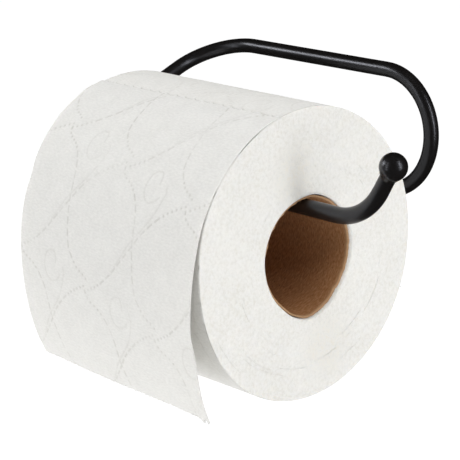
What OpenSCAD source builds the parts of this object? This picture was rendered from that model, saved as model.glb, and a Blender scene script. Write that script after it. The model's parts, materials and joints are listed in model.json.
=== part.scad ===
// Wall-mounted toilet paper holder: one bent steel rod with a ball end, on a
// screw plate, with a paper roll on its arm.
// Origin: midway between the two screw holes, on the wall plane.
// The wall is Y = 0, the room is towards -Y, up is +Z, and the arm opens to +X.

/* [Rod] */
// Diameter of the steel rod
rod_d = 6; // [4:0.5:8]
// Centreline radius of every bend
bend_r = 24; // [20:1:30]
// Straight length of the top bar
top_bar_l = 76; // [60:1:120]
// Length of the lower bar, from its cut end to the right-hand bend
lower_bar_l = 68; // [55:1:95]
// From the wall bars' centreline out to the arm's centreline
arm_reach = 80; // [66:1:110]
// How steeply the U slopes down from the top bar to the arm
arm_slope = 24.25; // [16:0.25:32]
// Straight length of the arm, between its two bends
arm_l = 127.5; // [118:0.5:155]
// How far the arm's tip turns up
tip_angle = 60; // [20:5:80]
// From the end of the tip's bend to the centre of the ball
tip_l = 11; // [9:0.5:20]
// Diameter of the ball on the tip
ball_d = 10; // [9:0.5:16]
// Width of the weld ring under the ball
ball_weld_w = 0.9; // [0.5:0.1:1.5]

/* [Wall plate] */
// Width of the wall plate
plate_w = 22; // [16:1:40]
// Height of the wall plate
plate_h = 50; // [44:1:70]
// Thickness of the wall plate
plate_t = 2.5; // [2.2:0.1:5]
// Distance between the two screw holes, up the plate
hole_spacing = 34; // [30:1:44]
// Diameter of each screw hole
screw_hole_d = 4.5; // [3.5:0.1:5]
// Diameter of each 90 degree countersink at the plate's front
countersink_d = 8.4; // [7.6:0.1:9]
// Width of each weld bead on the plate, outside the lower bar
weld_w = 1.5; // [0.8:0.1:2.5]
// Length of each weld bead along the lower bar
weld_l = 17; // [8:1:20]

/* [Paper roll] */
// Outside diameter of the wound paper
roll_d = 108; // [80:1:120]
// Width of the roll
roll_w = 97; // [85:1:105]
// Inside diameter of the cardboard core
core_d = 41; // [34:0.5:48]
// Thickness of the cardboard core's wall
core_t = 0.8; // [0.5:0.1:1.5]
// From the arm's left-hand bend to the near end of the roll
roll_offset = 17.5; // [8:0.5:24]

/* [Loose sheet] */
// Length of the loose sheet, from its perforation to its torn edge
sheet_l = 122; // [95:1:135]
// Thickness of the three-ply sheet
sheet_t = 0.5; // [0.3:0.1:0.8]
// Height of the perforation, as an angle up the front of the roll
perf_angle = 73.5; // [50:0.5:88]
// Angle up the front of the roll at which the sheet lifts off it
peel_angle = 16.5; // [0:0.5:30]
// Radius to which the hanging paper keeps its curl
curl_r = 90; // [80:1:140]

/* [Fits] */
// Gap between the arm and the core that rests on it
core_play = 0.3; // [0.2:0.1:1]
// Gap between the wound paper and the loose sheet over it
sheet_gap = 0.3; // [0.2:0.1:0.6]

/* [Hidden] */
$fn = 64;

rod_r = rod_d / 2;

// Wall loop: both bars lie on the plate's front, so their centres share one Y
bar_y = -(plate_t + rod_r);
top_z = 2 * bend_r;
right_x = top_bar_l / 2;
left_x = -top_bar_l / 2;

// The U that carries the arm out from the wall lies in a plane sloping down to the room
u_leg_l = arm_reach / cos(arm_slope) - 2 * bend_r;

arm_y = bar_y - arm_reach;
arm_z = top_z - arm_reach * tan(arm_slope);
arm_end_x = left_x + arm_l;
tip_x = arm_end_x + bend_r * sin(tip_angle);
tip_z = arm_z + bend_r * (1 - cos(tip_angle));
ball_pos = [tip_x + tip_l * cos(tip_angle), arm_y, tip_z + tip_l * sin(tip_angle)];

// The dressed tip is this much thinner in radius, and starts this far inside the bend
tip_relief = 0.05;
tip_overlap = 0.3;

// Where the rod's surface goes into the ball, measured back from the ball's centre
ball_entry = sqrt(pow(ball_d / 2, 2) - pow(rod_r, 2));

// Each weld bead climbs the bar's underside to this angle below its middle
weld_climb = 20;
// The bead starts this far out from the line where bar and plate touch
weld_root = 0.9;

// Roll axis: the core hangs with the top of its bore on the arm
core_r = core_d / 2;
roll_axis = [left_x + roll_offset, arm_y, arm_z + rod_r + core_play - core_r];

// Loose sheet: it follows the roll from the perforation to where it peels off,
// then falls on a wider arc that starts along the same tangent
sheet_r = roll_d / 2 + sheet_gap;
wrap_angle = perf_angle - peel_angle;
wrap_l = sheet_r * wrap_angle * PI / 180;
fall_angle = (sheet_l - wrap_l) / curl_r * 180 / PI;

// A straight length of rod along +X; its children start at its end
module straight(length) {
    rotate([0, 90, 0]) cylinder(r = rod_r, h = length);
    translate([length, 0, 0]) children();
}

// A bend from +X up towards +Z; its children start at its end, facing along the rod
module turn(angle) {
    translate([0, 0, bend_r]) {
        rotate([90, 0, 0]) rotate([0, 0, -90])
            rotate_extrude(angle = angle)
                translate([bend_r, 0]) circle(r = rod_r);
        rotate([0, -angle, 0]) translate([0, 0, -bend_r]) children();
    }
}

// The rod's end, dressed down a little to take the ball
module dressed_tip() {
    translate([-tip_overlap, 0, 0]) rotate([0, 90, 0])
        cylinder(r = rod_r - tip_relief, h = tip_l + tip_overlap);
}

// The rod from the lower bar's cut end, round the wall loop, out along the U to the arm
module holder_rod() {
    color("#26262a") translate([right_x - lower_bar_l, bar_y, 0])
        straight(lower_bar_l) turn(180) straight(top_bar_l)
        rotate([90 - arm_slope, 0, 0]) turn(90) straight(u_leg_l) turn(90) straight(arm_l)
        rotate([90 - arm_slope, 0, 0]) turn(tip_angle) dressed_tip();
}

// Points the child's +Z along the arm's turned-up tip
module along_tip() {
    rotate([0, 90 - tip_angle, 0]) children();
}

module ball_tip() {
    color("#222226") translate(ball_pos) along_tip() difference() {
        sphere(d = ball_d);
        translate([0, 0, -ball_d]) cylinder(r = rod_r, h = ball_d);
    }
}

module ball_weld() {
    color("#2b2b30") translate(ball_pos) along_tip() difference() {
        rotate_extrude() polygon([
            [rod_r, -ball_entry - ball_weld_w],
            [rod_r + ball_weld_w, -ball_entry + ball_weld_w],
            [rod_r, -ball_entry + ball_weld_w]
        ]);
        sphere(d = ball_d);
    }
}

module countersunk_hole() {
    countersink_h = (countersink_d - screw_hole_d) / 2;
    rotate([90, 0, 0]) {
        translate([0, 0, -1]) cylinder(d = screw_hole_d, h = plate_t + 2);
        translate([0, 0, plate_t - countersink_h])
            cylinder(d1 = screw_hole_d, d2 = countersink_d, h = countersink_h);
    }
}

module wall_plate() {
    end_z = (plate_h - plate_w) / 2;
    color("#29292d") difference() {
        rotate([90, 0, 0]) union() {
            translate([-plate_w / 2, -end_z, 0]) cube([plate_w, 2 * end_z, plate_t]);
            for (side = [-1, 1])
                translate([0, side * end_z, 0]) cylinder(d = plate_w, h = plate_t);
        }
        for (side = [-1, 1])
            translate([0, 0, side * hole_spacing / 2]) countersunk_hole();
    }
}

// One fillet bead along +X, in the corner between the bar and the plate
module weld_bead() {
    climb = [rod_r * cos(weld_climb), rod_r * (1 - sin(weld_climb))];
    rotate([90, 0, 90]) linear_extrude(weld_l) difference() {
        polygon([
            [0, weld_root],
            [0, rod_r + weld_w],
            [-climb[1], climb[0]],
            [-climb[1], weld_root]
        ]);
        translate([-rod_r, 0]) circle(r = rod_r);
    }
}

module plate_welds() {
    color("#2b2b30") translate([-weld_l / 2, -plate_t, 0])
        for (side = [0, 1]) mirror([0, 0, side]) weld_bead();
}

module cardboard_core() {
    color("#8a6748") translate(roll_axis) rotate([0, 90, 0]) difference() {
        cylinder(r = core_r + core_t, h = roll_w);
        translate([0, 0, -1]) cylinder(r = core_r, h = roll_w + 2);
    }
}

module wound_paper() {
    color("#f0efec") translate(roll_axis) rotate([0, 90, 0]) difference() {
        cylinder(d = roll_d, h = roll_w);
        translate([0, 0, -1]) cylinder(r = core_r + core_t, h = roll_w + 2);
    }
}

// A band of paper bent about Z, starting on +X; its outer side faces away from the axis
module paper_band(inner_r, angle) {
    rotate_extrude(angle = angle)
        translate([inner_r, 0]) square([sheet_t, roll_w]);
}

// Both arcs start where the sheet peels off: one runs back up the roll, the other down
module loose_sheet() {
    color("#f6f6f8") translate(roll_axis)
        rotate([0, 90, 0]) rotate([0, 0, 270 - peel_angle]) {
            paper_band(sheet_r, -wrap_angle);
            translate([sheet_r - curl_r, 0, 0]) paper_band(curl_r, fall_angle);
        }
}

holder_rod();
ball_tip();
ball_weld();
wall_plate();
plate_welds();
cardboard_core();
wound_paper();
loose_sheet();
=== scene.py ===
import json
import math

import bpy
import numpy as np
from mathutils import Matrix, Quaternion, Vector


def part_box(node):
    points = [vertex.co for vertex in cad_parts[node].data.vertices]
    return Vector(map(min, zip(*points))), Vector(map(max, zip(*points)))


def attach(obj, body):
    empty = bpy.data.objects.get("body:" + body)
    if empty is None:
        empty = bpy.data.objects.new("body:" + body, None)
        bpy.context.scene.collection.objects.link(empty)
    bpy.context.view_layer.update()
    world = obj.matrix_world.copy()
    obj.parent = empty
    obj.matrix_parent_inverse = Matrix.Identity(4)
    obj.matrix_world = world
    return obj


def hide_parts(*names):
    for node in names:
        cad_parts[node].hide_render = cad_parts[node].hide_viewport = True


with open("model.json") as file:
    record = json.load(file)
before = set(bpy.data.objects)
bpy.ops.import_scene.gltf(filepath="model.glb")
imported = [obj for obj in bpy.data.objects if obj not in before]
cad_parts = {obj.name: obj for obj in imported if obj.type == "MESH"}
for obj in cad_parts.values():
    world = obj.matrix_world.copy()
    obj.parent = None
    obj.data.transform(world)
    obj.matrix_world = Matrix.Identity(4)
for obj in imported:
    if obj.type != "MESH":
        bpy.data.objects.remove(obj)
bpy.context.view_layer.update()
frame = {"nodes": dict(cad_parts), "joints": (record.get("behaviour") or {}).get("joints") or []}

MM = 0.001
TAU = 2 * math.pi

# ------------------------------------------------------ sizes, all taken from the CAD where it has them
roll_lo, roll_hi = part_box("wound_paper")
core_lo, core_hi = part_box("cardboard_core")
rod_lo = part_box("holder_rod")[0]
JOINTS = {j["name"]: Vector(j["pos_m"]) for j in frame["joints"]}
X0, X1 = roll_lo.x, roll_hi.x                      # the roll's two ends
ROLL_W = X1 - X0
AXIS_Y, AXIS_Z = (roll_lo.y + roll_hi.y) / 2, (roll_lo.z + roll_hi.z) / 2
ROLL_R = (roll_hi.y - roll_lo.y) / 2
CORE_T = 0.8 * MM                                  # wall of the cardboard tube
BORE_R = (core_hi.y - core_lo.y) / 2 - CORE_T      # its inside radius

hinge = JOINTS["sheet_lift"]                       # the perforation that the loose sheet hangs from
SHEET_R = math.hypot(hinge.y - AXIS_Y, hinge.z - AXIS_Z)
PERF = math.atan2(hinge.z - AXIS_Z, AXIS_Y - hinge.y)
PEEL = math.radians(16.5)                          # where the sheet lifts off the roll
CURL = 90 * MM                                     # curl that the hanging paper keeps
SHEET_L = 122 * MM                                 # one sheet, perforation to perforation
SHEET_T = 0.36 * MM                                # three plies, pressed by the winding
TIE_PITCH, TIE_W = 5 * MM, 1.1 * MM                # perforation: ties between the cuts
WRAP = SHEET_R * (PERF - PEEL)                     # how much of the sheet lies on the roll
SHEET_RELIEF, ROLL_RELIEF = 0.28 * MM, 0.22 * MM   # depth of a full mark; the roll flattens its own
END_INSET = 0.1 * MM                               # sawn ends lie this far inside the roll's width
EDGE_ROUND = 0.18 * MM                             # worn rounding of the roll's two edges
LAYER_STEP = 0.05 * MM                             # the outermost layer ends in this step


# ---------------------------------------------------------------- small helpers
def linear(code):
    """An sRGB hex colour as linear RGBA."""
    parts = [int(code[i:i + 2], 16) / 255 for i in (1, 3, 5)]
    return [c / 12.92 if c <= 0.04045 else ((c + 0.055) / 1.055) ** 2.4 for c in parts] + [1.0]


def add(tree, kind, inputs=(), stops=(), **settings):
    """Adds a node with its settings. inputs gives each named or numbered socket a value or a link, and
    stops the places and colours of a ramp."""
    n = tree.nodes.new(kind)
    for key, value in settings.items():
        setattr(n, key, value)
    for k, (at, code) in enumerate(stops):
        e = n.color_ramp.elements[k] if k < 2 else n.color_ramp.elements.new(at)
        e.position, e.color = at, linear(code)
    for key, value in dict(inputs).items():
        if isinstance(value, bpy.types.NodeSocket):
            tree.links.new(value, n.inputs[key])
        else:
            n.inputs[key].default_value = value
    return n


def noise_field(seed, *xs):
    """Smooth random waves in any number of coordinates, about -1 to 1."""
    rng = np.random.default_rng(seed)
    total = 0
    for k in range(7):
        phase = rng.uniform(0, TAU)
        total = total + np.sin(sum(x * rng.uniform(0.5, 2.1) * rng.choice((-1, 1)) for x in xs) + phase)
    return total / 3.2


def smooth_curve(at, points, period=None):
    """Smooth interpolation through (position, value) points, closed if period is given."""
    px, pv = np.array(points, float).T
    if period:
        px = np.concatenate([px - period, px, px + period])
        pv = np.tile(pv, 3)
        at = np.mod(at, period)
    at = np.clip(at, px[0], px[-1])
    slope = np.gradient(pv, px)
    i = np.clip(np.searchsorted(px, at, side="right") - 1, 0, len(px) - 2)
    w = px[i + 1] - px[i]
    t = (at - px[i]) / w
    return ((2 * t**3 - 3 * t**2 + 1) * pv[i] + (t**3 - 2 * t**2 + t) * w * slope[i]
            + (3 * t**2 - 2 * t**3) * pv[i + 1] + (t**3 - t**2) * w * slope[i + 1])


def make_piece(name, points, blocks, materials, uv=None, values=None, face_material=None):
    """A smooth shaded mesh object at the origin. All faces of a block have the same number of corners."""
    mesh = bpy.data.meshes.new(name)
    mesh.from_pydata(points.reshape(-1, 3).tolist(), [],
                     [face for block in blocks for face in block.tolist()])
    corners = np.concatenate([block.ravel() for block in blocks])
    for m in materials:
        mesh.materials.append(m)
    if face_material is not None:
        mesh.polygons.foreach_set("material_index", face_material)
    if uv is not None:
        layer = mesh.uv_layers.new(name="surface")
        layer.uv.foreach_set("vector", uv[corners].astype(np.float32).ravel())
    for key, v in (values or {}).items():
        mesh.attributes.new(key, "FLOAT", "POINT").data.foreach_set("value", v.astype(np.float32).ravel())
    mesh.shade_smooth()
    mesh.validate()
    piece = bpy.data.objects.new(name, mesh)
    bpy.context.scene.collection.objects.link(piece)
    return piece


def ring_quads(stations, around, flip=False):
    """Quads of a closed ring of stations, each a closed loop of points."""
    i, j = np.meshgrid(np.arange(stations), np.arange(around), indexing="ij")
    a, b = i * around + j, i * around + (j + 1) % around
    c, d = ((i + 1) % stations) * around + (j + 1) % around, ((i + 1) % stations) * around + j
    q = np.stack([a, b, c, d], -1).reshape(-1, 4)
    return q[:, ::-1] if flip else q


# ---------------------------------------------------------------- embossing of the paper
# One repeat of the swirl pattern, in mm across and down the paper. Two steps carry it over the sheet.
STEP_A, STEP_B = np.array([38.0, 9.8]), np.array([27.0, 57.7])
CROSSING = np.array([11.6, 26.6])
DOWN_LINE = [(-0.5, 1.1), (1.4, 4.2), (4, 5.4), (6.8, 7), (9.4, 9.4), (11.5, 12.5), (12.4, 14.4),
             (13.4, 17.7),
             (13.7, 20.8), (14, 25.5), (15.1, 33.5), (15.5, 37.5), (16.2, 41.3), (17, 44.3), (18.4, 46.8),
             (21.2, 49.8), (22.6, 51.3), (25, 52.4), (27.3, 53.6), (28.6, 55.2)]
ACROSS_LINE = [(-0.4, -1), (-2.8, 0.2), (-5.3, 1.3), (-8.4, 3), (-12.4, 5.7), (-16.8, 9.4), (-20.8, 13.6),
               (-23.3, 17), (-26.8, 21.2), (-30.5, 25.4), (-34.2, 29.6), (-37.8, 32.6), (-40.4, 34.6),
               (-43, 36.2), (-45.4, 37.4), (-47.6, 38.5), (-49.6, 39.1)]
CURL_LINE = [(20.5, 4.5), (20.5, 1), (19.5, -0.6), (17.1, -0.6), (15, 0.9), (13.8, 3.9), (13.8, 7.2),
             (15.3, 10.1), (17.8, 11.4), (21.3, 10), (22.8, 8.3)]
TAIL_LINE = [(24.3, 3.9), (25.5, 6.5), (24.2, 11.2), (21.9, 16.1), (18.7, 20), (14.8, 24.2), (11.3, 28.4),
             (8.7, 32.3), (5.7, 36.5)]


def marks_along(line, dotted):
    """Dots near a line's ends and dashes along its middle, or one fine unbroken line."""
    pts = np.array(line, float)
    run = np.concatenate([[0], np.cumsum(np.hypot(*np.diff(pts, axis=0).T))])
    place = lambda q: np.array([np.interp(q, run, pts[:, 0]), np.interp(q, run, pts[:, 1])])
    out, q = [], 0.6
    while q < run[-1] - 0.2:
        if not dotted:
            out.append((place(q), place(q + 1.3), 0.22, 0.4))
            q += 1.2
        elif min(q, run[-1] - q) < 12.5:
            out.append((place(q), place(q + 0.1), 0.27, 1.0))
            q += 2.15
        else:
            out.append((place(q), place(q + 2.4), 0.2, 0.85))
            q += 4.2
    return out


CELL = marks_along(DOWN_LINE, True) + marks_along(ACROSS_LINE, True) \
    + marks_along(CURL_LINE, False) + marks_along(TAIL_LINE, False)


def embossing(across, down, widen=1.0):
    """How far each point of a paper grid is pressed in, 0 to 1. across and down are its lines in mm."""
    pressed = np.zeros((len(across), len(down)))
    for ia in range(-30, 31):
        for ib in range(-10, 11):
            at = CROSSING + ia * STEP_A + ib * STEP_B
            if not (across[0] - 60 < at[0] < across[-1] + 60 and down[0] - 60 < at[1] < down[-1] + 60):
                continue
            for start, end, spread, depth in CELL:
                p, e = start + at, end + at
                s = spread * widen
                i0, i1 = np.searchsorted(across, [min(p[0], e[0]) - 3 * s, max(p[0], e[0]) + 3 * s])
                j0, j1 = np.searchsorted(down, [min(p[1], e[1]) - 3 * s, max(p[1], e[1]) + 3 * s])
                if i0 == i1 or j0 == j1:
                    continue
                gx, gy = across[i0:i1, None] - p[0], down[None, j0:j1] - p[1]
                d = e - p
                t = np.clip((gx * d[0] + gy * d[1]) / (d @ d), 0, 1)
                far = (gx - t * d[0]) ** 2 + (gy - t * d[1]) ** 2
                # the rollers press unevenly
                weight = 0.8 + 0.25 * noise_field(91, p[0] / 13, p[1] / 11) \
                    + 0.2 * noise_field(92, p[0] * 1.7, p[1] * 1.9)
                part = depth * min(max(weight, 0.4), 1) * np.exp(-far / (2 * s * s))
                pressed[i0:i1, j0:j1] = np.maximum(pressed[i0:i1, j0:j1], part)
    return pressed


# ---------------------------------------------------------------- materials
def new_material(name):
    m = bpy.data.materials.new(name)
    m.use_nodes = True
    m.node_tree.nodes.clear()
    return m, m.node_tree


def powder_coated_steel():
    """Matt black polyester powder, baked on steel: faint orange peel, and a satin sheen."""
    m, t = new_material("black_polyester_powder_coat")
    at = add(t, "ShaderNodeTexCoord").outputs["Object"]
    # orange peel waves about 1.1 mm apart, and grit about 0.3 mm apart, drawn as coarse as it can show
    peel = add(t, "ShaderNodeTexNoise",
               {"Vector": at, "Scale": 1 / (1.1 * MM), "Detail": 2.0, "Roughness": 0.5})
    grit = add(t, "ShaderNodeTexNoise", {"Vector": at, "Scale": 1 / (0.3 * MM), "Detail": 1.0})
    cloud = add(t, "ShaderNodeTexNoise", {"Vector": at, "Scale": 1 / (14 * MM), "Detail": 3.0})
    colour = add(t, "ShaderNodeValToRGB", {0: cloud.outputs["Fac"]},
                 [(0.3, "#110f0e"), (0.7, "#171514")]).outputs[0]
    rough = add(t, "ShaderNodeMapRange", {"Value": peel.outputs["Fac"], "From Min": 0.3, "From Max": 0.7,
                                          "To Min": 0.3, "To Max": 0.34})
    bump = add(t, "ShaderNodeBump", {"Height": grit.outputs["Fac"], "Strength": 0.04, "Distance": 0.02 * MM})
    bump = add(t, "ShaderNodeBump", {"Height": peel.outputs["Fac"], "Strength": 0.08, "Distance": 0.04 * MM,
                                     "Normal": bump.outputs[0]})
    shader = add(t, "ShaderNodeBsdfPrincipled", {
        "Base Color": colour, "Roughness": rough.outputs[0], "IOR": 1.62, "Specular Tint": linear("#f0f3ff"),
        "Normal": bump.outputs[0]})
    add(t, "ShaderNodeOutputMaterial", {"Surface": shader.outputs[0]})
    return m


def paper_crepe(t, surface):
    """Creping of tissue: fine ridges across the web, 0.7 mm apart, and soft cloudy formation."""
    ridges = add(t, "ShaderNodeMapping", {"Vector": surface, "Scale": (1 / (1.5 * MM), 1 / (0.7 * MM), 1)})
    ridges = add(t, "ShaderNodeTexNoise", {"Vector": ridges.outputs[0], "Scale": 1.0, "Detail": 3.0,
                                           "Roughness": 0.6})
    cloud = add(t, "ShaderNodeTexNoise", {"Vector": surface, "Scale": 1 / (7 * MM), "Detail": 4.0})
    return ridges.outputs["Fac"], cloud.outputs["Fac"]


def creped_tissue():
    """Bleached three-ply tissue: dull white, creped across, greyed at the pressed marks: partly the denser
    paper's own tone, partly painted shade.
    """
    m, t = new_material("embossed_white_tissue")
    surface = add(t, "ShaderNodeUVMap", uv_map="surface").outputs["UV"]
    ridges, cloud = paper_crepe(t, surface)
    pressed = add(t, "ShaderNodeAttribute", attribute_name="pressed").outputs["Fac"]
    cloud = add(t, "ShaderNodeMath", {0: cloud, 1: 0.3}, operation="MULTIPLY").outputs[0]
    tone = add(t, "ShaderNodeMath", {0: ridges, 1: 0.7, 2: cloud}, operation="MULTIPLY_ADD").outputs[0]
    base = add(t, "ShaderNodeValToRGB", {0: tone}, [(0.33, "#dddcd8"), (0.67, "#eae9e5")]).outputs[0]
    # painted shade: the pressed marks are greyed, partly for the denser paper and partly standing in for the
    # shade in their hollows
    pressed = add(t, "ShaderNodeMath", {0: pressed, 1: 0.9}, operation="MULTIPLY").outputs[0]
    base = add(t, "ShaderNodeMix", {0: pressed, 6: base, 7: linear("#c4c2bb")}, data_type="RGBA").outputs[2]
    bump = add(t, "ShaderNodeBump", {"Height": ridges, "Strength": 0.8, "Distance": 0.2 * MM})
    shader = add(t, "ShaderNodeBsdfPrincipled", {
        "Base Color": base, "Roughness": 0.9, "IOR": 1.45, "Specular IOR Level": 0.25,
        "Subsurface Weight": 0.35, "Subsurface Radius": (1.0, 0.97, 0.92), "Subsurface Scale": 1.2 * MM,
        "Normal": bump.outputs[0]})
    add(t, "ShaderNodeOutputMaterial", {"Surface": shader.outputs[0]})
    return m


def polar(t):
    """Distance from the roll's axis, and direction round it, from Object coordinates."""
    at = add(t, "ShaderNodeTexCoord").outputs["Object"]
    off = add(t, "ShaderNodeVectorMath", {0: at, 1: (0, AXIS_Y, AXIS_Z)}, operation="SUBTRACT").outputs[0]
    flat = add(t, "ShaderNodeVectorMath", {0: off, 1: (0, 1, 1)}, operation="MULTIPLY").outputs[0]
    radius = add(t, "ShaderNodeVectorMath", {0: flat}, operation="LENGTH").outputs["Value"]
    way = add(t, "ShaderNodeVectorMath", {0: flat}, operation="NORMALIZE").outputs[0]
    return at, radius, way


def cut_tissue_ends():
    """Sawn end of the web: a soft felt of layer edges, warmer than the face, with fibre dust and smudges."""
    m, t = new_material("sawn_tissue_layers")
    at, radius, way = polar(t)
    # layer edges lie 0.25 mm apart; they are drawn 0.5 mm apart so that they show
    fine = add(t, "ShaderNodeMath", {0: radius, 1: 1 / (0.5 * MM)}, operation="MULTIPLY").outputs[0]
    turn = add(t, "ShaderNodeVectorMath", {0: way, 1: (4, 4, 4)}, operation="MULTIPLY").outputs[0]
    rings = add(t, "ShaderNodeVectorMath",
                {0: turn, 1: add(t, "ShaderNodeCombineXYZ", {"X": fine}).outputs[0]},
                operation="ADD").outputs[0]
    rings = add(t, "ShaderNodeTexNoise", {"Vector": rings, "Scale": 1.0, "Detail": 2.0}).outputs["Fac"]
    fluff = add(t, "ShaderNodeTexNoise", {"Vector": at, "Scale": 1 / (1.3 * MM), "Detail": 5.0,
                                          "Roughness": 0.7}).outputs["Fac"]
    cloud = add(t, "ShaderNodeTexNoise", {"Vector": at, "Scale": 1 / (16 * MM), "Detail": 3.0}).outputs["Fac"]
    mottle = add(t, "ShaderNodeMath", {0: cloud, 1: 0.25, 2: fluff}, operation="MULTIPLY_ADD").outputs[0]
    colour = add(t, "ShaderNodeValToRGB", {0: mottle},
                 [(0.4, "#dfddd6"), (0.85, "#f0efeb"), (0.62, "#e9e8e4")]).outputs[0]
    for y, z, size in ((8, 31, 13), (-10, -36, 15)):
        spot = add(t, "ShaderNodeVectorMath", {0: at, 1: (X1, AXIS_Y - y * MM, AXIS_Z + z * MM)},
                   operation="DISTANCE").outputs["Value"]
        spot = add(t, "ShaderNodeMapRange",
                   {"Value": spot, "From Min": size * MM, "From Max": 2 * MM}).outputs[0]
        speck = add(t, "ShaderNodeMapRange", {"Value": fluff, "From Min": 0.46, "From Max": 0.62}).outputs[0]
        spot = add(t, "ShaderNodeMath", {0: spot, 1: speck}, operation="MULTIPLY").outputs[0]
        spot = add(t, "ShaderNodeMath", {0: spot, 1: 0.5}, operation="MULTIPLY").outputs[0]
        colour = add(t, "ShaderNodeMix", {0: spot, 6: colour, 7: linear("#ded7c6")},
                     data_type="RGBA").outputs[2]
    bump = add(t, "ShaderNodeBump", {"Height": fluff, "Strength": 0.65, "Distance": 0.4 * MM})
    bump = add(t, "ShaderNodeBump", {"Height": rings, "Strength": 0.3, "Distance": 0.12 * MM,
                                     "Normal": bump.outputs[0]})
    shader = add(t, "ShaderNodeBsdfPrincipled", {
        "Base Color": colour, "Roughness": 0.95, "IOR": 1.45, "Specular IOR Level": 0.2,
        "Subsurface Weight": 0.4, "Subsurface Radius": (1.0, 0.9, 0.75), "Subsurface Scale": 1.2 * MM,
        "Normal": bump.outputs[0]})
    add(t, "ShaderNodeOutputMaterial", {"Surface": shader.outputs[0]})
    return m


def spiral_core_board():
    """Recycled grey-brown board, spiral wound and glued: dull, with fibres along the winding and flecks."""
    m, t = new_material("spiral_wound_core_board")
    surface = add(t, "ShaderNodeUVMap", uv_map="surface").outputs["UV"]
    # short matted fibres that lean along the spiral, 0.6 mm apart and about 1.6 mm long
    grain = add(t, "ShaderNodeMapping", {"Vector": surface, "Rotation": (0, 0, math.radians(30)),
                                         "Scale": (1 / (0.6 * MM), 1 / (1.6 * MM), 1)})
    grain = add(t, "ShaderNodeTexNoise",
                {"Vector": grain.outputs[0], "Scale": 1.0, "Detail": 4.0}).outputs["Fac"]
    fleck = add(t, "ShaderNodeTexNoise",
                {"Vector": surface, "Scale": 1 / (1.1 * MM), "Detail": 3.0}).outputs["Fac"]
    colour = add(t, "ShaderNodeValToRGB", {0: grain},
                 [(0.3, "#93643f"), (0.72, "#be9169"), (0.5, "#a67850")]).outputs[0]
    fleck = add(t, "ShaderNodeMapRange",
                {"Value": fleck, "From Min": 0.64, "From Max": 0.7, "To Max": 0.6}).outputs[0]
    seam = add(t, "ShaderNodeAttribute", attribute_name="seam").outputs["Fac"]
    rim = add(t, "ShaderNodeAttribute", attribute_name="rim").outputs["Fac"]
    for amount, code in ((fleck, "#64422a"), (seam, "#7c5332"), (rim, "#b08c69")):
        colour = add(t, "ShaderNodeMix", {0: amount, 6: colour, 7: linear(code)}, data_type="RGBA").outputs[2]
    bump = add(t, "ShaderNodeBump", {"Height": grain, "Strength": 0.4, "Distance": 0.08 * MM})
    shader = add(t, "ShaderNodeBsdfPrincipled", {
        "Base Color": colour, "Roughness": 0.88, "IOR": 1.5, "Specular IOR Level": 0.3,
        "Normal": bump.outputs[0]})
    add(t, "ShaderNodeOutputMaterial", {"Surface": shader.outputs[0]})
    return m


def loose_fibre(name, code, low):
    """Torn fibres: single threads, a little uneven in tone."""
    m, t = new_material(name)
    at = add(t, "ShaderNodeTexCoord").outputs["Object"]
    tone = add(t, "ShaderNodeTexNoise", {"Vector": at, "Scale": 1 / (2 * MM), "Detail": 1.0}).outputs["Fac"]
    shader = add(t, "ShaderNodeBsdfPrincipled", {
        "Base Color": add(t, "ShaderNodeValToRGB", {0: tone}, [(0.35, low), (0.65, code)]).outputs[0],
        "Roughness": 0.95, "IOR": 1.45, "Specular IOR Level": 0.2})
    add(t, "ShaderNodeOutputMaterial", {"Surface": shader.outputs[0]})
    return m


POWDER = powder_coated_steel()
TISSUE = creped_tissue()
ENDS = cut_tissue_ends()
BOARD = spiral_core_board()
TISSUE_FIBRE = loose_fibre("torn_tissue_fibre", "#f0f0ee", "#e2e1dd")
BOARD_FIBRE = loose_fibre("torn_board_fibre", "#c0a27e", "#9c7b57")

for name in ("holder_rod", "ball_tip", "ball_weld", "wall_plate", "plate_welds"):
    for slot in frame["nodes"][name].material_slots:
        slot.material = POWDER


# ---------------------------------------------------------------- shapes of the roll
def bore_bulge(angle):
    """The core is pushed out of round: soft at the bottom, dented at the top, never under the bore."""
    deg = np.degrees(angle)
    return MM * np.maximum(0, smooth_curve(deg, [
        (7, 0.35), (37, 0.05), (61, 0), (84, 0.05), (95, 0.2), (106, 0.05), (130, 0), (170, 0), (205, 0.05),
        (230, 0.6), (248, 1.6), (267, 2.5), (286, 1.5), (305, 0.3), (325, 0.05), (345, 0.15)], 360))


def roll_radius(angle):
    """The wound paper settles a little oval: full at the top and bottom, drawn in front and back."""
    deg = np.degrees(angle)
    return ROLL_R - MM * np.maximum(0, smooth_curve(deg, [
        (0, 1.5), (15, 0.7), (30, 0.1), (50, 0.1), (75, 0), (95, 0.15), (120, 0.7), (150, 1.2), (180, 1.6),
        (200, 1.1), (225, 0.35), (250, 0.05), (275, 0), (300, 0.1), (318, 0.7), (335, 1.4)], 360))


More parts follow.
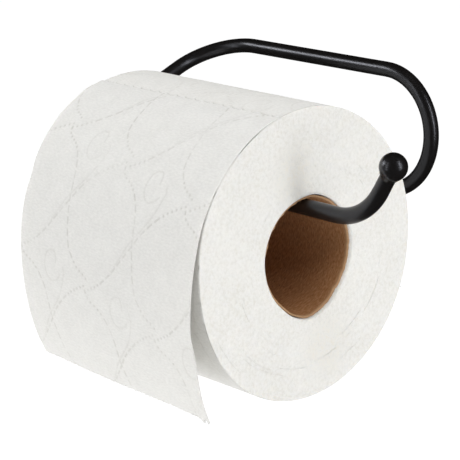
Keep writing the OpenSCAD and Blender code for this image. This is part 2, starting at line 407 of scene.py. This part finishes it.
def wound_roll():
    around = 400
    # the seam of the outermost layer lies at the perforation, where the loose sheet leaves the roll
    angle = PERF - (np.arange(around) + 0.5) / around * TAU
    down = -ROLL_R * (TAU - (PERF - angle)) / MM          # mm along the web, back from the perforation
    outer, bore = roll_radius(angle), BORE_R + CORE_T + bore_bulge(angle) + 0.02 * MM
    # the outermost layer ends at the perforation: a step of one sheet
    outer = outer - LAYER_STEP * (1 - (PERF - angle) / TAU)
    rows_face, cols = 32, 150
    across = np.linspace(EDGE_ROUND / MM, (ROLL_W - EDGE_ROUND) / MM, cols)
    pressed = 0.6 * embossing(across, down, 1.25)      # the roll's tension flattens the marks
    web = noise_field(5, across[:, None] / 9, np.cos(angle)[None] * 5, np.sin(angle)[None] * 5)
    points, value, group = [], [], []
    zero = np.zeros(around)

    def station(x, r, p=zero, g=0):
        points.append(np.stack([x + zero, AXIS_Y - r * np.cos(angle), AXIS_Z + r * np.sin(angle)], -1))
        value.append(p)
        group.append(g)

    def face_height(r, seed):
        layers = noise_field(seed, r / (0.55 * MM), np.cos(angle) * 0.8, np.sin(angle) * 0.8)
        soft = noise_field(seed + 1, r / (9 * MM), np.cos(angle) * 2.5, np.sin(angle) * 2.5)
        return MM * (0.035 * layers + 0.16 * soft)

    skin = outer - 0.06 * MM
    corner = [math.radians(a) for a in (12, 34, 56, 78)]
    for q in np.linspace(0.5, 5.5, 6) / 6:                                       # bore, from right to left
        station(X1 - q * ROLL_W, bore)
    for k in range(rows_face):                                                   # left end
        r = bore + (skin - EDGE_ROUND - bore) * (k + 0.5) / rows_face
        station(X0 + END_INSET - face_height(r, 21), r, g=1)
    for a in corner:
        station(X0 + END_INSET + EDGE_ROUND * (1 - math.cos(a)), skin - EDGE_ROUND * (1 - math.sin(a)),
                g=int(a < 0.7))
    for k in range(cols):                                                        # outer face
        r = skin - ROLL_RELIEF * pressed[k] + 0.05 * MM * web[k]
        station(X0 + across[k] * MM, np.minimum(r, ROLL_R), pressed[k])
    for a in reversed(corner):
        station(X1 - END_INSET - EDGE_ROUND * (1 - math.cos(a)), skin - EDGE_ROUND * (1 - math.sin(a)),
                g=int(a < 0.7))
    for k in range(rows_face - 1, -1, -1):                                       # right end
        r = bore + (skin - EDGE_ROUND - bore) * (k + 0.5) / rows_face
        station(X1 - END_INSET + face_height(r, 31), r, g=1)
    n = len(points)
    pts = np.array(points)
    uv = np.stack([pts[..., 0] - X0, np.broadcast_to(down * MM, (n, around))], -1).reshape(-1, 2)
    return make_piece("tissue_roll", pts, [ring_quads(n, around)], [TISSUE, ENDS], uv,
                       {"pressed": np.array(value)}, np.repeat(group, around))


def cardboard_tube():
    around, rows = 288, 140
    angle = -(np.arange(around) + 0.5) / around * TAU
    inner, outer = BORE_R + bore_bulge(angle), BORE_R + CORE_T + bore_bulge(angle)
    pitch = 78 * MM                                       # the strip's advance in one turn
    points, seam_value, rim_value = [], [], []
    zero = np.zeros(around)

    def station(x, r, seam=zero, rim=0.0):
        points.append(np.stack([x + zero, AXIS_Y - r * np.cos(angle), AXIS_Z + r * np.sin(angle)], -1))
        seam_value.append(seam)
        rim_value.append(zero + rim)

    ragged = [MM * (0.3 * noise_field(s, np.cos(angle) * 9, np.sin(angle) * 9)
                    + 0.12 * noise_field(s + 3, np.cos(angle) * 31, np.sin(angle) * 31)) for s in (41, 51)]
    for k in range(rows):                                 # inside, from left to right
        q = k / (rows - 1)
        x = X0 + 1.45 * MM + q * (ROLL_W - 2.9 * MM)
        d = (x - X0 - angle / TAU * pitch + pitch / 2) % pitch - pitch / 2
        groove = np.exp(-((d / (0.55 * MM)) ** 2))
        lap = np.where((d > 0) & (d < 7 * MM), 1 - d / (7 * MM), 0)
        edge = ragged[0] * (1 - q) ** 30 + ragged[1] * q ** 30
        rim = max(0.0, 1 - min(k, rows - 1 - k) / 1.5)
        station(x + edge, inner + 0.16 * MM * groove + 0.05 * MM * lap, groove, rim)
    for x, r, e in ((X1 - 1.1 * MM, inner + 0.12 * MM, ragged[1]),
                    (X1 - 0.9 * MM, inner + 0.4 * MM, ragged[1]),
                    (X1 - 1.0 * MM, outer - 0.03 * MM, ragged[1] * 0.6)):
        station(x + e, r, rim=1.0)
    for q in np.linspace(0, 1, 8):                        # outside, from right to left
        station(X1 - 1.6 * MM - q * (ROLL_W - 3.2 * MM), outer)
    for x, r, e in ((X0 + 1.0 * MM, outer - 0.03 * MM, ragged[0] * 0.6),
                    (X0 + 0.9 * MM, inner + 0.4 * MM, ragged[0]),
                    (X0 + 1.1 * MM, inner + 0.12 * MM, ragged[0])):
        station(x + e, r, rim=1.0)
    n = len(points)
    pts = np.array(points)
    uv = np.stack([pts[..., 0] - X0, np.broadcast_to(angle * BORE_R, (n, around))], -1).reshape(-1, 2)
    return make_piece("spiral_core", pts, [ring_quads(n, around, flip=True)], [BOARD], uv,
                      {"seam": np.array(seam_value), "rim": np.array(rim_value)})


# ---------------------------------------------------------------- loose sheet
def fall_line(s):
    """Place and outward direction, in Y and Z, at an arc length down the loose sheet from its perforation."""
    on_roll = s < WRAP
    a = np.where(on_roll, PERF - s / SHEET_R, PEEL - (s - WRAP) / CURL)
    r = np.where(on_roll, SHEET_R, CURL)
    cy = np.where(on_roll, AXIS_Y, AXIS_Y + (CURL - SHEET_R) * math.cos(PEEL))
    cz = np.where(on_roll, AXIS_Z, AXIS_Z - (CURL - SHEET_R) * math.sin(PEEL))
    return cy - r * np.cos(a), cz + r * np.sin(a), -np.cos(a), np.sin(a)


def stand_off(u, s):
    """How far the hanging paper stands off its plain curve, in mm: soft bulges, unlike at its edges."""
    right = smooth_curve(s,
        [(-2, -0.1), (0, 0.0), (4, 0.0), (10, 0.02), (20, 0.04), (27, 0.1), (34, 0.25), (42.2, 0.5),
                             (51, 0.7), (61.8, 0.6), (71.8, 0.7), (81.4, 1.0), (87.8, 1.2), (96.6, 0.4),
                             (104.2, 0.6), (114, 1.4), (123, 1.9)])
    left = smooth_curve(s, [(-2, -0.1), (0, 0.1), (4, 0.4), (9, 0.75), (13.5, 0.6), (20, 0.8), (35, 1.0),
                            (43, 0.8), (49, 0.15), (55, 0.6), (65, 0.5), (80, 0.0), (95, -0.6), (110, -1.0),
                            (123, -1.3)])
    middle = smooth_curve(s, [(-2, -0.1), (0, 0.1), (5, 0.4), (15, 0.35), (40, 0.5), (55, 0.4), (80, 0.2),
                              (100, 0.3), (123, 0.4)])
    w = u / (ROLL_W / MM)
    wr, wl = np.clip((w - 0.45) / 0.55, 0, 1) ** 1.6, np.clip((0.5 - w) / 0.5, 0, 1) ** 1.4
    wrinkle = noise_field(61, u / 16, s / 13) * 0.16 * np.clip(s / 12, 0, 1) * (1 - 0.8 * wr)
    base = middle * (1 - wr) * (1 - wl) + right * wr + left * wl
    on_roll = s < WRAP / MM + 4
    return np.where(on_roll, np.maximum(base + wrinkle, np.minimum(np.maximum(s, 0) * 0.02, 0.1)),
                    base + wrinkle)


def torn_end(u):
    """Where the torn edge runs, in mm past the true length: tie stubs, and two spikes at the corner."""
    phase = (u / (TIE_PITCH / MM)) % 1
    stub = np.exp(-(((phase - 0.5) * TIE_PITCH / TIE_W) ** 2) * 2)
    rough = 0.03 * noise_field(71, u * 2.3) + 0.1 * noise_field(72, u / 7)
    spike = 1.5 * np.exp(-(((u - 96.4) / 0.6) ** 2)) + 2.0 * np.exp(-(((u - 93.6) / 0.75) ** 2)) \
        - 0.6 * np.exp(-(((u - 95.0) / 0.5) ** 2))
    return rough + 0.08 * stub + spike


def loose_sheet():
    width, length = ROLL_W / MM, SHEET_L / MM
    cols, rows = 245, 301
    u = np.linspace(0, width, cols)
    phase = (u / (TIE_PITCH / MM)) % 1
    tie = np.abs(phase - 0.5) * TIE_PITCH < TIE_W / 2
    top = np.where(tie, -0.1, 0.28)
    q = np.linspace(0, 1, rows)
    s = top[:, None] * np.clip(1 - q[None] * rows / 3, 0, 1) + q[None] * length \
        + torn_end(u)[:, None] * np.clip((q[None] * length - length + 3) / 3, 0, 1)
    down = q * length
    pressed = embossing(u, down)
    # the cuts' edges are pinched, the ties aren't; the pinch also greys the cuts' edges with the marks'
    # painted shade
    pressed[:, :2] = np.where(tie, 0, 1)[:, None] * (0.9, 0.6)
    off = stand_off(u[:, None], s)
    y, z, ny, nz = fall_line(s * MM)
    x = X0 + np.broadcast_to(u[:, None], s.shape) * MM
    # side edges are cut straight, with a slow waver
    x = x + MM * 0.2 * noise_field(81, s / 15) * np.abs(2 * u[:, None] / width - 1) ** 8
    under = off * MM - 0.3 * MM + 0.1 * MM * np.clip((s * MM - WRAP) / (10 * MM), 0, 1)
    # the plies are pressed into each other at each mark
    over = under + SHEET_T - SHEET_RELIEF * pressed
    under = under - 0.08 * MM * pressed * (s * MM > WRAP)
    front = np.stack([x, y + ny * over, z + nz * over], -1)
    # the back is plain, so it is coarser
    back = np.stack([x, y + ny * under, z + nz * under], -1)[::2, ::2]
    n, back_rows = cols * rows, (rows + 1) // 2

    def cells(a_cols, a_rows):
        i, j = np.meshgrid(np.arange(a_cols - 1), np.arange(a_rows - 1), indexing="ij")
        return [i * a_rows + j, i * a_rows + j + 1, (i + 1) * a_rows + j + 1, (i + 1) * a_rows + j]

    blocks = [np.stack(cells(cols, rows), -1).reshape(-1, 4),
              np.stack(cells((cols + 1) // 2, back_rows), -1).reshape(-1, 4)[:, ::-1] + n]
    loop = np.concatenate([np.arange(cols) * rows, (cols - 1) * rows + np.arange(1, rows),
                           np.arange(cols - 2, -1, -1) * rows + rows - 1, np.arange(rows - 2, 0, -1)])
    here, half, there = loop[::2], loop[1::2], np.roll(loop, -2)[::2]
    behind = n + here // rows // 2 * back_rows + here % rows // 2
    blocks.append(np.stack([here, half, there, np.roll(behind, -1), behind], -1))
    uv = np.stack([x - X0, s * MM], -1)
    piece = make_piece("hanging_sheet", np.concatenate([front.reshape(-1, 3), back.reshape(-1, 3)]), blocks,
                       [TISSUE],
                       np.concatenate([uv.reshape(-1, 2), uv[::2, ::2].reshape(-1, 2)]),
                       {"pressed": np.concatenate([pressed.ravel(), pressed[::2, ::2].ravel()])})
    return piece, front[:, -1]


# ---------------------------------------------------------------- geometry nodes
def new_tree(name, inputs):
    """A geometry tree with one geometry in and out, and named inputs with their kinds and starting values."""
    tree = bpy.data.node_groups.new(name, "GeometryNodeTree")
    tree.interface.new_socket(name="Geometry", in_out="INPUT", socket_type="NodeSocketGeometry")
    for label, (kind, value) in inputs.items():
        s = tree.interface.new_socket(name=label, in_out="INPUT", socket_type="NodeSocket" + kind)
        if kind != "Material":
            s.default_value = value
    tree.interface.new_socket(name="Geometry", in_out="OUTPUT", socket_type="NodeSocketGeometry")
    return tree, tree.nodes.new("NodeGroupInput").outputs


def end_tree(tree, geometry, material):
    solid = add(tree, "GeometryNodeRealizeInstances", {0: geometry})
    done = add(tree, "GeometryNodeSetMaterial", {"Geometry": solid.outputs[0], "Material": material})
    add(tree, "NodeGroupOutput", {0: done.outputs[0]})


def grow(name, tree, values, path=None):
    """Runs a tree over a path's points and keeps the result as a plain mesh at the origin."""
    start = bpy.data.meshes.new(name + "_path")
    if path is not None:
        closed = len(path[0]) == 4
        pts = [tuple(p[:3]) for p in path]
        start.from_pydata(pts,
            [(k, k + 1) for k in range(len(pts) - 1)] + ([(len(pts) - 1, 0)] if closed else []), [])
    piece = bpy.data.objects.new(name, start)
    bpy.context.scene.collection.objects.link(piece)
    mod = piece.modifiers.new("grow", "NODES")
    mod.node_group = tree
    for item in tree.interface.items_tree:
        if item.in_out == "INPUT" and item.name in values:
            mod[item.identifier] = values[item.name]
    solid = bpy.data.meshes.new_from_object(piece.evaluated_get(bpy.context.evaluated_depsgraph_get()))
    piece.modifiers.remove(mod)
    piece.data = solid
    bpy.data.meshes.remove(start)
    solid.name = name
    solid.shade_smooth()
    return piece


def perforation_tree():
    """Rows of cuts round the roll: each cut is a low pinched lip, with a tie left between it and the next."""
    tree, given = new_tree("perforation_cuts", {
        "Left End": ("Float", 0.0), "Axis Y": ("Float", 0.0), "Axis Z": ("Float", 0.0),
        "Radius": ("Float", 0.05),
        "First Angle": ("Float", 0.0), "Line Turn": ("Float", 2.0), "Lines": ("Int", 3), "Cuts": ("Int", 19),
        "Pitch": ("Float", 0.005), "Tie": ("Float", 0.001), "Lip Width": ("Float", 0.0004),
        "Lip Height": ("Float", 0.0001), "Seed": ("Int", 0), "Material": ("Material", None)})
    total = add(tree, "ShaderNodeMath", {0: given["Lines"], 1: given["Cuts"]},
                operation="MULTIPLY").outputs[0]
    dots = add(tree, "GeometryNodeMeshLine", {"Count": total, "Offset": (0, 0, 0)}).outputs[0]
    index = add(tree, "GeometryNodeInputIndex").outputs[0]
    row = add(tree, "ShaderNodeMath", {0: index, 1: given["Cuts"]}, operation="DIVIDE").outputs[0]
    row = add(tree, "ShaderNodeMath", {0: row}, operation="FLOOR").outputs[0]
    col = add(tree, "ShaderNodeMath", {0: index, 1: given["Cuts"]}, operation="MODULO").outputs[0]
    angle = add(tree, "ShaderNodeMath", {0: row, 1: given["Line Turn"], 2: given["First Angle"]},
                operation="MULTIPLY_ADD").outputs[0]
    col = add(tree, "ShaderNodeMath", {0: col, 1: 1.0}, operation="ADD").outputs[0]
    x = add(tree, "ShaderNodeMath", {0: col, 1: given["Pitch"], 2: given["Left End"]},
            operation="MULTIPLY_ADD").outputs[0]
    cosine = add(tree, "ShaderNodeMath", {0: angle}, operation="COSINE").outputs[0]
    sine = add(tree, "ShaderNodeMath", {0: angle}, operation="SINE").outputs[0]
    back = add(tree, "ShaderNodeMath", {0: given["Radius"], 1: -1.0}, operation="MULTIPLY").outputs[0]
    y = add(tree, "ShaderNodeMath", {0: cosine, 1: back, 2: given["Axis Y"]},
            operation="MULTIPLY_ADD").outputs[0]
    z = add(tree, "ShaderNodeMath", {0: sine, 1: given["Radius"], 2: given["Axis Z"]},
            operation="MULTIPLY_ADD").outputs[0]
    place = add(tree, "ShaderNodeCombineXYZ", {0: x, 1: y, 2: z}).outputs[0]
    dots = add(tree, "GeometryNodeSetPosition", {"Geometry": dots, "Position": place}).outputs[0]
    lip = add(tree, "GeometryNodeMeshUVSphere", {"Segments": 10, "Rings": 6, "Radius": 0.5}).outputs[0]
    lean = add(tree, "ShaderNodeMath", {0: math.pi / 2, 1: angle}, operation="SUBTRACT").outputs[0]
    turned = add(tree, "ShaderNodeCombineXYZ", {0: lean}).outputs[0]
    cut = add(tree, "ShaderNodeMath", {0: given["Pitch"], 1: given["Tie"]}, operation="SUBTRACT").outputs[0]
    vary = add(tree, "FunctionNodeRandomValue", {2: 0.8, 3: 1.05, "Seed": given["Seed"]},
               data_type="FLOAT").outputs[1]
    cut = add(tree, "ShaderNodeMath", {0: cut, 1: vary}, operation="MULTIPLY").outputs[0]
    size = add(tree, "ShaderNodeCombineXYZ",
               {0: cut, 1: given["Lip Width"], 2: given["Lip Height"]}).outputs[0]
    lips = add(tree, "GeometryNodeInstanceOnPoints", {"Points": dots, "Instance": lip, "Rotation": turned,
                                                      "Scale": size}).outputs[0]
    end_tree(tree, lips, given["Material"])
    return tree


def fray_tree():
    """Torn fibres along a path: thin tapered threads, each with its own length and lean."""
    tree, given = new_tree("frayed_fibres", {
        "Count": ("Int", 200), "Thread": ("Float", 0.00006), "Shortest": ("Float", 0.0002),
        "Longest": ("Float", 0.001), "Direction": ("Vector", (0, 0, -1)), "Spread": ("Float", 0.6),
        "Seed": ("Int", 0), "Material": ("Material", None)})
    line = add(tree, "GeometryNodeMeshToCurve", {0: given["Geometry"]}).outputs[0]
    dots = add(tree, "GeometryNodeCurveToPoints", {"Curve": line, "Count": given["Count"]},
               mode="COUNT").outputs[0]
    stir = add(tree, "FunctionNodeRandomValue", {0: (-0.0004, -0.0004, -0.0004), 1: (0.0004, 0.0004, 0.0004),
                                                 "Seed": given["Seed"]}, data_type="FLOAT_VECTOR").outputs[0]
    flat = add(tree, "ShaderNodeVectorMath", {0: stir, 1: (1.0, 0.05, 0.05)}, operation="MULTIPLY").outputs[0]
    dots = add(tree, "GeometryNodeSetPosition", {"Geometry": dots, "Offset": flat}).outputs[0]
    lean = add(tree, "FunctionNodeRandomValue", {0: (-1, -1, -1), 1: (1, 1, 1), "Seed": given["Seed"]},
               data_type="FLOAT_VECTOR").outputs[0]
    lean = add(tree, "ShaderNodeVectorMath", {0: lean, "Scale": given["Spread"]},
               operation="SCALE").outputs[0]
    way = add(tree, "ShaderNodeVectorMath", {0: lean, 1: given["Direction"]}, operation="ADD").outputs[0]
    turned = add(tree, "FunctionNodeAlignRotationToVector", {"Vector": way}, axis="Z").outputs[0]
    long = add(tree, "FunctionNodeRandomValue",
               {2: given["Shortest"], 3: given["Longest"], "Seed": given["Seed"]},
               data_type="FLOAT").outputs[1]
    thick = add(tree, "ShaderNodeCombineXYZ", {0: given["Thread"], 1: given["Thread"], 2: long}).outputs[0]
    cone = add(tree, "GeometryNodeMeshCone", {"Vertices": 4, "Side Segments": 1, "Radius Top": 0.25,
                                              "Radius Bottom": 1.0, "Depth": 1.0}).outputs["Mesh"]
    threads = add(tree, "GeometryNodeInstanceOnPoints", {"Points": dots, "Instance": cone, "Rotation": turned,
                                                         "Scale": thick}).outputs[0]
    end_tree(tree, threads, given["Material"])
    return tree


def layer_tree():
    """Edges of layers that stand proud of the roll's end: arcs of a thin lip, at random radii and lengths."""
    tree, given = new_tree("proud_layer_edges", {
        "Face X": ("Float", 0.0), "Axis Y": ("Float", 0.0), "Axis Z": ("Float", 0.0),
        "Inside": ("Float", 0.025),
        "Outside": ("Float", 0.052), "Arcs": ("Int", 60), "Shortest": ("Float", 0.1),
        "Longest": ("Float", 0.7),
        "Lip": ("Float", 0.0001), "Seed": ("Int", 0), "Material": ("Material", None)})
    dots = add(tree, "GeometryNodeMeshLine", {"Count": given["Arcs"], "Offset": (0, 0, 0)}).outputs[0]
    line = add(tree, "GeometryNodeCurvePrimitiveLine").outputs[0]
    line = add(tree, "GeometryNodeResampleCurve", {"Curve": line, "Count": 22}).outputs[0]
    arcs = add(tree, "GeometryNodeInstanceOnPoints", {"Points": dots, "Instance": line}).outputs[0]
    index = add(tree, "GeometryNodeInputIndex").outputs[0]
    pick = []
    for k, (low, high) in enumerate(((given["Inside"], given["Outside"]), (0.0, TAU),
                                     (given["Shortest"], given["Longest"]))):
        seed = add(tree, "ShaderNodeMath", {0: given["Seed"], 1: float(k)}, operation="ADD").outputs[0]
        value = add(tree, "FunctionNodeRandomValue", {2: low, 3: high, "ID": index, "Seed": seed},
                    data_type="FLOAT").outputs[1]
        arcs = add(tree, "GeometryNodeStoreNamedAttribute",
                   {"Geometry": arcs, "Name": f"layer_{k}", "Value": value},
                   data_type="FLOAT", domain="INSTANCE").outputs[0]
        pick.append(add(tree, "GeometryNodeInputNamedAttribute", {"Name": f"layer_{k}"},
                        data_type="FLOAT").outputs[0])
    arcs = add(tree, "GeometryNodeRealizeInstances", {0: arcs}).outputs[0]
    along = add(tree, "GeometryNodeSplineParameter").outputs["Factor"]
    angle = add(tree, "ShaderNodeMath", {0: along, 1: pick[2], 2: pick[1]},
                operation="MULTIPLY_ADD").outputs[0]
    cosine = add(tree, "ShaderNodeMath", {0: angle}, operation="COSINE").outputs[0]
    sine = add(tree, "ShaderNodeMath", {0: angle}, operation="SINE").outputs[0]
    y = add(tree, "ShaderNodeMath", {0: cosine, 1: pick[0], 2: given["Axis Y"]},
            operation="MULTIPLY_ADD").outputs[0]
    z = add(tree, "ShaderNodeMath", {0: sine, 1: pick[0], 2: given["Axis Z"]},
            operation="MULTIPLY_ADD").outputs[0]
    place = add(tree, "ShaderNodeCombineXYZ", {0: given["Face X"], 1: y, 2: z}).outputs[0]
    arcs = add(tree, "GeometryNodeSetPosition", {"Geometry": arcs, "Position": place}).outputs[0]
    taper = add(tree, "ShaderNodeMath", {0: along, 1: math.pi}, operation="MULTIPLY").outputs[0]
    taper = add(tree, "ShaderNodeMath", {0: taper}, operation="SINE").outputs[0]
    taper = add(tree, "ShaderNodeMath", {0: taper, 1: 0.12}, operation="MAXIMUM").outputs[0]
    arcs = add(tree, "GeometryNodeSetCurveRadius", {"Curve": arcs, "Radius": taper}).outputs[0]
    ring = add(tree, "GeometryNodeCurvePrimitiveCircle", {"Resolution": 5, "Radius": given["Lip"]},
               mode="RADIUS").outputs[0]
    lips = add(tree, "GeometryNodeCurveToMesh",
               {"Curve": arcs, "Profile Curve": ring, "Fill Caps": True}).outputs[0]
    end_tree(tree, lips, given["Material"])
    return tree


# ---------------------------------------------------------------- the pieces
tube = cardboard_tube()
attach(tube, "roll")
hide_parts("cardboard_core")

roll = wound_roll()
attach(roll, "roll")
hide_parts("wound_paper")

sheet, torn_edge = loose_sheet()
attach(sheet, "sheet")
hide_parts("loose_sheet")

perforations = grow("perforation_cuts", perforation_tree(), {
    "Left End": X0, "Axis Y": AXIS_Y, "Axis Z": AXIS_Z, "Radius": ROLL_R - 0.07 * MM,
    "First Angle": PERF + 0.006, "Line Turn": SHEET_L / ROLL_R, "Lines": 3, "Cuts": int(ROLL_W / TIE_PITCH),
    "Pitch": TIE_PITCH, "Tie": TIE_W, "Lip Width": 0.4 * MM, "Lip Height": 0.13 * MM, "Seed": 3,
    "Material": TISSUE_FIBRE})
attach(perforations, "roll")

layers = layer_tree()
for name, face, seed in (("layer_edges_right", X1 - END_INSET, 11), ("layer_edges_left", X0 + END_INSET, 12)):
    lips = grow(name, layers, {
        "Face X": face, "Axis Y": AXIS_Y, "Axis Z": AXIS_Z, "Inside": BORE_R + 4.5 * MM,
        "Outside": ROLL_R - 3.2 * MM, "Arcs": 36, "Shortest": 0.06, "Longest": 0.35, "Lip": 0.08 * MM,
        "Seed": seed,
        "Material": ENDS})
    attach(lips, "roll")

fray = fray_tree()
y, z, ny, nz = fall_line(np.array([SHEET_L - 2 * MM, SHEET_L]))
edge_fibres = grow("torn_edge_fibres", fray, {
    "Count": 420, "Thread": 0.04 * MM, "Shortest": 0.2 * MM, "Longest": 0.7 * MM,
    "Direction": (0.0, float(y[1] - y[0]) / (2 * MM), float(z[1] - z[0]) / (2 * MM)), "Spread": 0.5,
    "Seed": 7,
    "Material": TISSUE_FIBRE}, torn_edge.tolist())
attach(edge_fibres, "sheet")

turn = np.linspace(0, TAU, 180, endpoint=False)
for name, x, way, seed in (("core_rim_fibres_right", X1, 1.0, 17), ("core_rim_fibres_left", X0, -1.0, 18)):
    r = BORE_R + CORE_T / 2 + bore_bulge(turn)
    ring = [(x - way * 1.0 * MM, AXIS_Y - rr * math.cos(a), AXIS_Z + rr * math.sin(a), 0) for rr,
            a in zip(r, turn)]
    fibres = grow(name, fray, {
        "Count": 260, "Thread": 0.05 * MM, "Shortest": 0.2 * MM, "Longest": 0.7 * MM,
        "Direction": (way, 0.0, 0.0),
        "Spread": 0.7, "Seed": seed, "Material": BOARD_FIBRE}, ring)
    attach(fibres, "roll")

# ---------------------------------------------------------------- floor, light and camera
paint, t = new_material("pale_floor")
shader = add(t, "ShaderNodeBsdfPrincipled", {
    "Base Color": linear("#808080"), "Roughness": 1.0, "Specular IOR Level": 0.0,
    "Emission Color": linear("#ffffff"), "Emission Strength": 0.95})
add(t, "ShaderNodeOutputMaterial", {"Surface": shader.outputs[0]})
STAGE_R, WALL_H, SIDES = 8.0, 8.0, 64                   # floor and wall reach far past the views, in metres
FLOOR_DROP = 0.32                                       # from the rod's lowest point down to the floor


def stage_piece(name, heights, faces):
    """The floor, or the wall round it, from rings of points at the given heights."""
    mesh = bpy.data.meshes.new(name)
    mesh.from_pydata([(STAGE_R * math.cos(a), STAGE_R * math.sin(a),
                       rod_lo.z - FLOOR_DROP + h) for h in heights
                      for a in np.linspace(0, TAU, SIDES, endpoint=False)], [], faces)
    mesh.materials.append(paint)
    piece = bpy.data.objects.new(name, mesh)
    bpy.context.scene.collection.objects.link(piece)
    piece.visible_glossy = False                        # the black rod doesn't mirror it
    return piece


stage_piece("floor", [0.0], [list(range(SIDES))])
wall = stage_piece("backdrop", [0.0, WALL_H],
                   [(k, k + SIDES, (k + 1) % SIDES + SIDES, (k + 1) % SIDES) for k in range(SIDES)])
# only a low view sees it; the studio's light comes through
wall.visible_diffuse = False

centre = Vector((25.27, -77.06, -7.51)) * MM
azimuth, elevation = 0.8283, 0.2530                     # the camera's direction from the centre, in radians
CAMERA_DISTANCE, CAMERA_ROLL = 0.7151, 0.0063           # metres, and radians about its own axis
SENSOR, LENS = 36, 147.3104                             # width and focal length, in mm


def toward(a, e):
    return Vector((math.sin(a) * math.cos(e), -math.cos(a) * math.cos(e), math.sin(e)))


def lamp(name, a, e, distance, size, power):
    light = bpy.data.lights.new(name, "AREA")
    light.shape, light.size, light.size_y, light.energy = "ELLIPSE", *size, power
    o = bpy.data.objects.new(name, light)
    bpy.context.scene.collection.objects.link(o)
    d = toward(a, e)
    o.location, o.rotation_mode = centre + d * distance, "QUATERNION"
    o.rotation_quaternion = d.to_track_quat("Z", "Y")
    return o


lamp("strip_left", azimuth - math.radians(58), math.radians(12), 1.5, (0.3, 1.7), 3.6)
lamp("strip_right", azimuth + math.radians(52), math.radians(20), 1.5, (0.2, 1.7), 7.5)
lamp("softbox_side", math.radians(-50), math.radians(22), 1.7, (0.5, 0.5), 7)
above = lamp("softbox_top", azimuth + math.radians(20), math.radians(75), 1.6, (1.2, 1.2), 13)
above.visible_glossy = False                            # it lights the paper, and leaves the rod black

world = bpy.data.worlds.new("studio")
bpy.context.scene.world = world
world.use_nodes = True
world.node_tree.nodes["Background"].inputs["Color"].default_value = linear("#ffffff")
world.node_tree.nodes["Background"].inputs["Strength"].default_value = 0.3
# the black rod shows the softboxes, and not the whole room
world.cycles_visibility.glossy = False

camera_data = bpy.data.cameras.new("camera")
camera_data.sensor_width = SENSOR
camera_data.lens = LENS
camera = bpy.data.objects.new("camera", camera_data)
bpy.context.scene.collection.objects.link(camera)
back = toward(azimuth, elevation)
camera.location = centre + back * CAMERA_DISTANCE
camera.rotation_mode = "QUATERNION"
camera.rotation_quaternion = back.to_track_quat("Z", "Y") @ Quaternion((0, 0, 1), CAMERA_ROLL)
bpy.context.scene.camera = camera
bpy.context.scene.view_settings.view_transform = "Standard"
